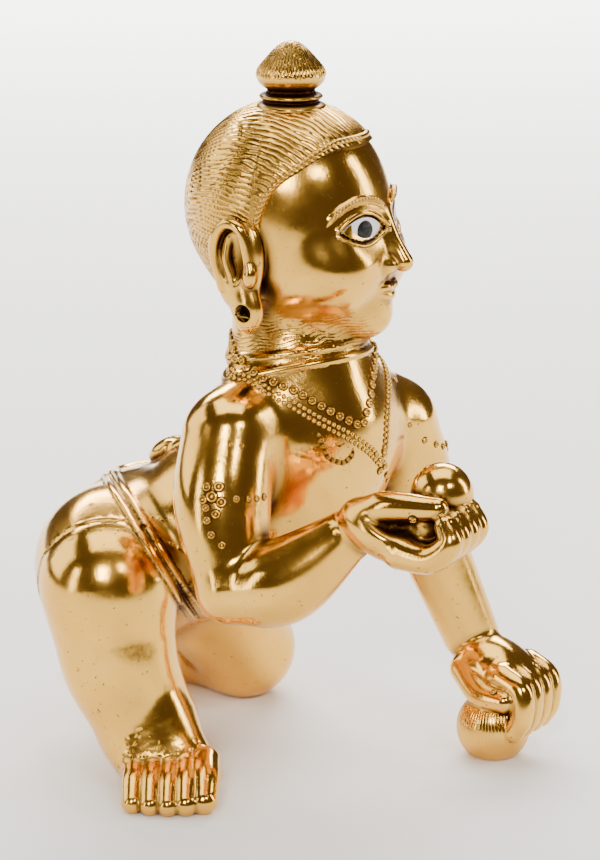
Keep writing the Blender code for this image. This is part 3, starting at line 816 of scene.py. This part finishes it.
def rope(name, path, radius, pitch, lean, relief, form, sunk, stain=0, taper=0.012, sides=20, fine=5):
    """A cord laid on the skin: round its path at distance r(s, a) = radius (1 - relief (1 - |sin(pi s/pitch
    + lean a/2)|^0.6)), s the way along it and a the angle round it, its ends drawn to a point."""
    base, way = measured(path, 16)
    rows = int(way[-1] / pitch * fine) + 1
    s = np.linspace(0, way[-1], rows)
    line = settled(met_at(base, way, s), form, 4)
    up = unit(slopes(line, form)[1])
    ahead = unit(np.gradient(line, axis=0))
    across = unit(np.cross(ahead, up))
    up = np.cross(across, ahead)
    a = circle(sides)
    lobes = np.abs(np.sin(np.pi * s[:, None] / pitch + lean * a / 2)) ** 0.6
    ends = np.sqrt(np.clip(np.minimum(s, way[-1] - s) / taper, 0.02, 1))
    r = radius * ends[:, None] * (1 - relief * (1 - lobes))
    ring = np.sin(a)[:, None] * up[:, None] + np.cos(a)[:, None] * across[:, None]
    v = line[:, None] + r[..., None] * ring
    v = v + (up * (radius * (0.5 - sunk)))[:, None] * ends[:, None, None]
    v = np.vstack([v.reshape(-1, 3), v[0].mean(0), v[-1].mean(0)])
    obj = new_piece(name, to_metres(v), capped(rows, sides))
    # Darkness: film between the lobes, painted shade on the cord's underside towards the skin, and the given
    # stain over all
    low = np.clip(-np.sin(a), 0, 1) ** 2
    marked(obj, "hollow", np.append(np.clip((1 - lobes) * 1.3 + 0.7 * low + stain, 0, 1).ravel(), (0.6, 0.6)))
    return obj


def studs(name, places, profile, sides, form):
    """Domes of revolution set square on the skin: each place gives its point and radius; the profile lists
    radius, height and darkness in shares of that radius from the middle out."""
    places = np.array(places, float)
    spot = settled(places[:, :3], form, 5)
    up = unit(slopes(spot, form)[1])
    side = unit(np.cross(up, (0.3, 0.2, 1.0)))
    ahead = np.cross(up, side)
    r, z, dark = np.array(profile).T
    a = circle(sides)
    ring = np.stack([np.outer(r, np.cos(a)), np.outer(r, np.sin(a)), np.outer(z, np.ones(sides))], -1)
    ring = np.vstack([ring.reshape(-1, 3), (0, 0, z[0]), (0, 0, z[-1])])
    dark = np.append(np.repeat(dark, sides), (dark[0], dark[-1]))
    v = spot[:, None] + places[:, 3:, None] * (ring @ np.stack([side, ahead, up], 1))
    faces = repeated(capped(len(r), sides), len(places), len(ring))
    obj = new_piece(name, to_metres(v.reshape(-1, 3)), faces)
    marked(obj, "hollow", np.tile(dark, len(places)))
    return obj


# Profiles of studs: radius, height and darkness
RING_STUD = [(0.14, 0.55, 0), (0.28, 0.45, 0.4), (0.42, 0.1, 1), (0.54, 0.3, 0.7), (0.66, 0.55, 0),
             (0.78, 0.45, 0), (0.9, 0.16, 0.9), (1.08, 0.03, 1), (0.5, -0.6, 1)]
PLAIN_STUD = [(0.35, 0.66, 0), (0.7, 0.42, 0.2), (0.92, 0.06, 1), (0.6, -0.5, 1)]


def cast_pieces(sizes, mat):
    """The body and head: balls along the bones fused, settled on the blended form, cut apart at the neck."""
    seeds.clear()
    figure(Spot(np.array([HEAD, R_FOOT_BALL[0], L_FOOT_BALL[0], R_HAND_BALL[0], L_HAND_BALL[0]])))
    balls = np.array(seeds)
    rows, columns = 7, 14
    t = np.linspace(0, np.pi, rows + 2)[1:-1, None]
    u = circle(columns)[None]
    ring = np.stack([np.sin(t) * np.cos(u), np.sin(t) * np.sin(u), np.cos(t) + 0 * u], -1).reshape(-1, 3)
    ball = np.vstack([ring, [(0, 0, 1), (0, 0, -1)]])
    v = ball @ balls[:, :3, :3].transpose(0, 2, 1) + balls[:, None, :3, 3]
    body = new_piece("brass_body", v.reshape(-1, 3), repeated(capped(rows, columns), len(balls), len(ball)))
    fused(body, FUSE_VOXEL)
    settle(body, figure, 3)
    head = new_piece("brass_head", coords(body.data), [list(f.vertices) for f in body.data.polygons])
    sliced(head, tuple(np.array(NECK_POINT) - (0, 0, NECK_SPARE)), NECK_NORMAL, True)
    fused(head, 2 * sizes.head_voxel / GRID)
    settle(head, bust_form, 1, -DEEP_INSIDE)
    modified(head, 'SUBSURF', subdivision_type='SIMPLE', levels=1, render_levels=1)
    settle(head, bust_form, 1, -DEEP_INSIDE)
    thinned(head, sizes.triangles)
    sliced(head, NECK_POINT, NECK_NORMAL, True)
    fused(body, sizes.voxel / GRID)
    settle(body, body_form, 1)
    thinned(body, sizes.triangles)
    sliced(body, NECK_POINT, NECK_NORMAL, False)
    for obj, form in ((body, body_form), (head, bust_form)):
        v = coords(obj.data)
        v[:, 2] = np.maximum(v[:, 2], 0)
        put(obj.data, v)
        painted_shade = 0
        if obj is head:
            q = head_axes(Spot(v))
            # Painted shadow in the gap round each eye
            painted_shade = 0.9 * eye_seats(q)
            # Painted shade inside the drilled holes of the ear lobes
            for side in (-1, 1):
                painted_shade = painted_shade + step(0.0025, -0.001, ear(q, side)[1])
        g = slopes(v, form)[1]
        marked(obj, "hollow", film_and_shade_depth(v, g, form, painted_shade))
        dress(obj, mat, "brass", "idol_body")
        shaded_by(obj, g)
        put(obj.data, np.clip(to_metres(v), cad_low, cad_high))


def hair_piece(mat):
    """The hair as a cap: from HAIR_MIDDLE, the point at azimuth a and height e lies where the ray meets the
    hair's form; e runs from the hairline to the crown. The rim is closed inwards."""
    columns = 704
    rows = 134
    a = circle(columns)
    middle = np.array(HAIR_MIDDLE)

    def meet(a, e, turns, far):
        way = np.stack([np.sin(a) * np.cos(e), -np.cos(a) * np.cos(e), np.sin(e)], -1)
        for _ in range(turns):
            far = far - 0.98 * hair_form(Spot(on_grid(middle + way * far[:, None])))
        return way, far

    low = np.full(columns, 0.2)
    far = np.full(columns, 0.14)
    for _ in range(12):
        way, far = meet(a, low, 3, far)
        low = low - 0.7 * np.clip(hair(Spot(middle + way * far[:, None])) / far, -0.3, 0.3)
    t = np.linspace(0, 1, rows)[:, None]
    e = low[None] + (np.pi / 2 - 0.02 - low[None]) * t
    aa = np.broadcast_to(a, e.shape).ravel()
    way, far = meet(aa, e.ravel(), 5, np.tile(far, rows))
    outer = middle + way * far[:, None]
    inner = middle + (way * (far - 0.014)[:, None])[:columns]
    v = on_grid(np.vstack([inner, outer, middle, middle + (0, 0, far[-1])]))
    obj = new_piece("hair_cap", v, capped(rows + 1, columns))
    dark = hair_cuts(Spot(np.vstack([inner, outer, middle, middle + (0, 0, 0.13)])))
    edge = np.zeros(len(dark))
    edge[:2 * columns] = 0.8
    marked(obj, "hollow", np.clip(0.85 * dark + edge, 0, 1))
    dress(obj, mat, "brass")
    shaded_by(obj, slopes(v, hair_form)[1])
    put(obj.data, to_metres(v))


def on_chart(s, z):
    """Points of the face at distances s round the head and heights z, on the grid."""
    a = s / HEAD_R
    way = np.column_stack([np.sin(a), -np.cos(a), 0 * a])
    far = np.full(len(a), 0.12)
    for _ in range(10):
        q = way * far[:, None] + np.column_stack([0 * a, 0 * a, z])
        d, g = slopes(q, face)
        far = far - np.clip(d / np.maximum((g * way).sum(1), 0.3), -0.02, 0.02)
    return on_grid(q)


def edge_path():
    """Points on the hairline from one ear round the forehead to the other."""
    s = np.linspace(-0.198, 0.198, 60)
    return on_chart(s, hairline(s) + 0.0035)


def brow_path(side):
    u = np.linspace(0.013, 0.103, 12)
    return on_chart(side * u, 0.0415 - 8.0 * (u - 0.05) ** 2)


def add(tree, kind, inputs=None, **settings):
    node = tree.nodes.new(kind)
    for key, value in settings.items():
        setattr(node, key, value)
    return feed(node, inputs or {})


def feed(node, inputs):
    """Sets inputs of a node to values, or links them to sockets."""
    for key, value in inputs.items():
        if isinstance(value, bpy.types.NodeSocket):
            node.id_data.links.new(value, node.inputs[key])
        else:
            node.inputs[key].default_value = value
    return node


def new_material(name):
    """A material with a principled shader alone, and its tree and shader."""
    mat = bpy.data.materials.new(name)
    mat.use_nodes = True
    tree = mat.node_tree
    tree.nodes.clear()
    shader = add(tree, "ShaderNodeBsdfPrincipled")
    add(tree, "ShaderNodeOutputMaterial", {0: shader.outputs[0]})
    return mat, tree, shader


def maths(tree, operation, a, b):
    return add(tree, "ShaderNodeMath", {0: a, 1: b}, operation=operation).outputs[0]


def noise(tree, where, scale, detail, rough):
    inputs = {"Vector": where, "Scale": scale, "Detail": detail, "Roughness": rough}
    return add(tree, "ShaderNodeTexNoise", inputs).outputs["Fac"]


def ranged(tree, *values):
    """A socket's value between two bounds, told between two others."""
    return add(tree, "ShaderNodeMapRange", dict(enumerate(values))).outputs[0]


def mixed(tree, share, *colours):
    """The share of the second colour over the first, each a colour or a socket."""
    a, b = (c if isinstance(c, bpy.types.NodeSocket) else (*c, 1) for c in colours)
    return add(tree, "ShaderNodeMix", {0: share, 6: a, 7: b}, data_type='RGBA').outputs[2]


def bumped(tree, strength, distance, inputs):
    return add(tree, "ShaderNodeBump", {"Strength": strength, "Distance": distance, **inputs}).outputs[0]


def brass_material(name, colour, dark, rough):
    """Polished brass: warm base, brown film in the hollows that also carries painted shade round the eyes, in
    the ear holes and under the cords, fine file marks, soft dents and casting pits.
    """
    mat, tree, shader = new_material(name)
    where = add(tree, "ShaderNodeTexCoord").outputs["Object"]
    # The hollow mark holds patina depth together with painted shade
    cavity = add(tree, "ShaderNodeAttribute", attribute_name="hollow").outputs["Fac"]
    tint = ranged(tree, noise(tree, where, 110.0, 4.0, 0.6), 0.42, 0.72, 0.0, 0.42)
    pits = ranged(tree, noise(tree, where, 1500.0, 2.0, 0.7), 0.67, 0.73, 0.0, 0.8)
    film_and_shade = maths(tree, 'MAXIMUM', cavity, pits)
    aged = (colour[0] * 0.86, colour[1] * 0.72, colour[2] * 0.5)
    shade = mixed(tree, film_and_shade, mixed(tree, tint, colour, aged), dark)
    gloss = ranged(tree, maths(tree, 'ADD', film_and_shade, tint), 0.0, 1.3, rough, rough + 0.34)
    stretch = {"Vector": where, "Rotation": (0.5, 0.3, 0.7), "Scale": (1, 1, 0.08)}
    stretched = add(tree, "ShaderNodeMapping", stretch).outputs[0]
    dents = bumped(tree, 0.5, 0.00018, {"Height": noise(tree, where, 130.0, 3.0, 0.5)})
    marks = noise(tree, stretched, 2600.0, 3.0, 0.6)
    marks = bumped(tree, 0.4, 0.00004, {"Height": marks, "Normal": dents})
    feed(shader, {"Metallic": 1.0, "Base Color": shade, "Roughness": gloss, "Normal": marks})
    return mat


def brass(context):
    """The brass material, made once."""
    colours = context.scene.idol_colours
    mat = bpy.data.materials.get("polished_brass")
    return mat or brass_material("polished_brass", colours.brass, colours.film_and_shade, colours.rough)


def eye_material(name, white, centres, radius):
    """White enamel with a black pupil, a disc round each middle, and a painted shadow line where it meets the
    brass.
    """
    mat, tree, shader = new_material(name)
    where = add(tree, "ShaderNodeTexCoord").outputs["Object"]
    ways = [add(tree, "ShaderNodeVectorMath", {0: where, 1: c}, operation='DISTANCE') for c in centres]
    nearest = maths(tree, 'MINIMUM', *(way.outputs["Value"] for way in ways))
    edge = ranged(tree, nearest, radius * 0.96, radius * 1.04, 0.0, 1.0)
    worn = ranged(tree, noise(tree, where, 2200.0, 3.0, 0.6), 0.45, 0.75, 0.0, 1.0)
    black = mixed(tree, worn, (0.008, 0.007, 0.007), (0.05, 0.045, 0.04))
    # Painted shadow: the outer edge of each plate turns dark brown, for the gap where it meets the brass
    border = add(tree, "ShaderNodeAttribute", attribute_name="rim").outputs["Fac"]
    rim = ranged(tree, border, 0.93, 0.99, 0.0, 1.0)
    shadow_lined = mixed(tree, rim, mixed(tree, edge, black, white), (0.05, 0.022, 0.01))
    feed(shader, {"Base Color": shadow_lined, "Roughness": 0.3, "Specular IOR Level": 0.18})
    return mat


def eye_piece(name, side):
    """An almond plate: x = a cos t, z = b sin2 t with its sign, domed by the square of the way from its
    middle and bent round the face by the square of x."""
    rings = 28
    steps = 96
    rho, t = np.meshgrid(np.linspace(0.02, 1, rings), circle(steps), indexing="ij")
    x = EYE_HALF_WIDE * np.cos(t) * rho
    high = np.where(np.sin(t) > 0, EYE_HALF_HIGH, EYE_HALF_HIGH * EYE_LOWER)
    z = high * np.sign(np.sin(t)) * np.sin(t) ** 2 * rho
    y = -EYE_PROUD - EYE_DOME * (1 - rho ** 2) + EYE_BEND * x ** 2
    front = np.stack([x, y, z], -1)
    back = np.stack([x[-1], y[-1] + EYE_THICK, z[-1]], -1)[None]
    ends = np.array([(0, -EYE_PROUD - EYE_DOME, 0), (0, EYE_THICK, 0)])
    v = np.concatenate([np.concatenate([front, back]).reshape(-1, 3), ends])
    reach = np.linspace(0.1, 0.17, 281)
    line = np.column_stack([0 * reach, -reach, 0 * reach])
    aside = turn(0, 0, side * EYE_ANGLE).T
    out = np.interp(0, face(Spot(line @ aside + (0, 0, EYE_Z))), reach)
    q = (v + (0, -out, 0)) @ aside + (0, 0, EYE_Z)
    obj = new_piece(name, to_metres(on_grid(q)), capped(rings + 1, steps))
    marked(obj, "rim", np.concatenate([rho.ravel(), np.ones(steps), (0, 1)]))
    return obj


def sweet_piece(mat):
    """The left hand's sweet, cut with strokes that run from its top to its foot:
    r(a, e) = R (1.008 - 0.032 c), c being 1 in a cut."""
    columns = 640
    rows = 120
    a = circle(columns)
    e = np.linspace(-0.49 * np.pi, 0.49 * np.pi, rows)[:, None]
    n = a * SWEET_CUTS / (2 * np.pi) + 0.25 * np.sin(5 * e + 3 * a)
    i = np.floor(n + 0.5)
    j = np.floor(2.6 * e + 4 * hashed(i, 7))
    cut = np.exp(-((n - i) / 0.22) ** 2) * (0.35 + 0.65 * hashed(i % SWEET_CUTS, j)) * np.cos(e) ** 0.3
    r = SWEET_L * (1.008 - 0.032 * cut)
    v = np.stack([r * np.cos(e) * np.cos(a), r * np.cos(e) * np.sin(a), r * np.sin(e) + 0 * a], -1)
    v = np.vstack([v.reshape(-1, 3), (0, 0, -SWEET_L), (0, 0, SWEET_L)]) + SWEET_AT
    v[:, 2] = np.maximum(v[:, 2], 0.0002)
    obj = new_piece("left_sweet_skin", to_metres(v), capped(rows, columns))
    marked(obj, "hollow", np.append(np.clip(0.8 * cut, 0, 1).ravel(), (0, 0)))
    dress(obj, mat, "brass")


def tint_property(name, description, default):
    return FloatVectorProperty(name=name, description=description, subtype='COLOR', size=3, default=default,
                               min=0, max=1)


class IdolSizes(bpy.types.PropertyGroup):
    voxel: FloatProperty(name="Skin grain", description="Edge of the cells of the body's skin",
                         default=0.00036, min=0.0002, unit='LENGTH')
    head_voxel: FloatProperty(name="Head grain", description="Edge of the cells of the head's skin",
                              default=0.00019, min=0.0001, unit='LENGTH')
    triangles: IntProperty(name="Skin triangles", description="Triangles each skin is thinned to",
                           default=188000)
    pupil: FloatProperty(name="Pupil radius", description="Radius of the black pupil", default=0.0015,
                         unit='LENGTH')


class IdolColours(bpy.types.PropertyGroup):
    brass: tint_property("Brass", "Polished brass", (0.86, 0.49, 0.085))
    # The film colour is also used as painted shade
    film_and_shade: tint_property("Film", "Darker film in the hollows", (0.06, 0.02, 0.005))
    rough: FloatProperty(name="Brass roughness", description="Roughness of the polished brass", default=0.13)
    white: tint_property("Eye white", "Enamel of the eyes", (0.86, 0.84, 0.83))
    floor: tint_property("Floor", "Colour of the plain floor", (0.95, 0.95, 0.95))


class IDOL_OT_body(bpy.types.Operator):
    """Cast body and head: skin, hands with their sweets, feet, face, ears and topknot"""
    bl_idname = "idol.body"
    bl_label = "Cast body"

    def execute(self, context):
        cast_pieces(context.scene.idol_sizes, brass(context))
        return {'FINISHED'}


class IDOL_OT_hair(bpy.types.Operator):
    """Hair with its chased strokes, the corded hairline and the corded brows"""
    bl_idname = "idol.hair"
    bl_label = "Hair"

    def execute(self, context):
        mat = brass(context)
        hair_piece(mat)
        dress(rope("hairline_cord", edge_path(), 0.0046, 0.0074, 3, 0.34, bust_form, -0.35), mat, "brass")
        for side, name in ((-1, "brow_right"), (1, "brow_left")):
            cord = rope(name, brow_path(side), 0.0036, 0.0052, 3 * side, 0.34, bust_form, 0.35)
            dress(cord, mat, "brass")
        return {'FINISHED'}


class IDOL_OT_ornament(bpy.types.Operator):
    """Bead strings round the neck, the breast mark, the armlet and the ring punches"""
    bl_idname = "idol.ornament"
    bl_label = "Ornament"

    def execute(self, context):
        mat = brass(context)
        inner = along(INNER_STRING, 0.0138)
        inner = np.column_stack([inner, np.full(len(inner), 0.0062)])
        row = settled(along(OUTER_STRING, 0.0074), bust_form, 3)
        up = unit(slopes(row, bust_form)[1])
        ahead = unit(np.roll(row, -1, 0) - np.roll(row, 1, 0))
        side = unit(np.cross(ahead, up))
        both = np.vstack([row + 0.004 * side, row - 0.0034 * side + 0.0037 * ahead])
        both = np.column_stack([both, np.full(len(both), 0.004)])
        for obj in (studs("bead_string", inner, RING_STUD, 16, bust_form),
                    studs("chain", both, PLAIN_STUD, 8, bust_form),
                    studs("ring_marks", RINGS, RING_STUD, 18, figure),
                    rope("breast_mark", BREAST_MARK, 0.004, 0.008, 0, 0.5, figure, 0.4, 0.45),
                    rope("breast_arc", BREAST_ARC, 0.002, 0.0072, 0, 0.2, figure, 0.3, 0.4)):
            dress(obj, mat, "brass")
        return {'FINISHED'}


class IDOL_OT_sweet(bpy.types.Operator):
    """Striated skin of the sweet under the left hand"""
    bl_idname = "idol.sweet"
    bl_label = "Left sweet"

    def execute(self, context):
        sweet_piece(brass(context))
        return {'FINISHED'}


class IDOL_OT_eyes(bpy.types.Operator):
    """Inlaid enamel eyes"""
    bl_idname = "idol.eyes"
    bl_label = "Eyes"

    def execute(self, context):
        sizes = context.scene.idol_sizes
        colours = context.scene.idol_colours
        eyes = [eye_piece("enamel_eye_right", -1), eye_piece("enamel_eye_left", 1)]
        centres = [tuple(coords(e.data)[-2]) for e in eyes]
        mat = eye_material("white_enamel", colours.white, centres, sizes.pupil)
        for obj, node in zip(eyes, ("eye_right", "eye_left")):
            dress(obj, mat, "eye_enamel", node)
        return {'FINISHED'}


def looking(context, name, data, place, way):
    """A lamp or camera set at a place and looking along a way."""
    obj = bpy.data.objects.new(name, data)
    context.scene.collection.objects.link(obj)
    obj.matrix_world = Matrix.Translation(place) @ way.to_track_quat('-Z', 'Y').to_matrix().to_4x4()
    return obj


class IDOL_OT_stage(bpy.types.Operator):
    """Plain floor, soft lights and the camera"""
    bl_idname = "idol.stage"
    bl_label = "Stage"

    def execute(self, context):
        colours = context.scene.idol_colours
        h = FLOOR_HALF
        floor = new_piece("floor", [(-h, -h, 0), (h, -h, 0), (h, h, 0), (-h, h, 0)], [(0, 1, 2, 3)])
        mat, _, shader = new_material("pale_floor")
        feed(shader, {"Base Color": (*colours.floor, 1), "Roughness": 0.7})
        dress(floor, mat, smooth=False)
        world = bpy.data.worlds.new("studio")
        world.use_nodes = True
        feed(world.node_tree.nodes["Background"], {0: WORLD_COLOUR, 1: WORLD_POWER})
        context.scene.world = world
        for name, place, size, power, aim in LAMPS:
            lamp = bpy.data.lights.new(name, 'AREA')
            lamp.shape = 'RECTANGLE'
            lamp.size, lamp.size_y = size
            lamp.energy = power
            lamp.color = LAMP_COLOUR
            looking(context, name, lamp, place, Vector(aim) - Vector(place))
        az, el = np.radians(VIEW_TURN), np.radians(VIEW_RISE)
        back = np.array([np.sin(az) * np.cos(el), -np.cos(az) * np.cos(el), np.sin(el)])
        cam = bpy.data.cameras.new("camera")
        cam.lens = SENSOR * FOCAL_PIXELS / PICTURE_PIXELS
        cam.sensor_width = SENSOR
        cam.clip_start = 0.01
        eye = to_metres(np.array(VIEW_AIM) + VIEW_FAR * back)
        context.scene.camera = looking(context, "camera", cam, eye, Vector(-back))
        return {'FINISHED'}


class IDOL_PT_panel(bpy.types.Panel):
    """Lists the idol's operators"""
    bl_idname = "IDOL_PT_panel"
    bl_label = "Laddu gopal"
    bl_space_type = 'VIEW_3D'
    bl_region_type = 'UI'
    bl_category = "Idol"

    def draw(self, context):
        for group in (context.scene.idol_sizes, context.scene.idol_colours):
            for key in group.__annotations__:
                self.layout.prop(group, key)
        for op in OPERATORS:
            self.layout.operator(op.bl_idname)


OPERATORS = (IDOL_OT_body, IDOL_OT_hair, IDOL_OT_ornament, IDOL_OT_sweet, IDOL_OT_eyes, IDOL_OT_stage)
CLASSES = (IdolSizes, IdolColours) + OPERATORS + (IDOL_PT_panel,)


def register():
    for cls in CLASSES:
        bpy.utils.register_class(cls)
    bpy.types.Scene.idol_sizes = PointerProperty(type=IdolSizes)
    bpy.types.Scene.idol_colours = PointerProperty(type=IdolColours)


def unregister():
    del bpy.types.Scene.idol_colours
    del bpy.types.Scene.idol_sizes
    for cls in reversed(CLASSES):
        bpy.utils.unregister_class(cls)


def main():
    register()
    bpy.ops.idol.body()
    bpy.ops.idol.hair()
    bpy.ops.idol.ornament()
    bpy.ops.idol.sweet()
    bpy.ops.idol.eyes()
    bpy.ops.idol.stage()


if __name__ == "__main__":
    main()
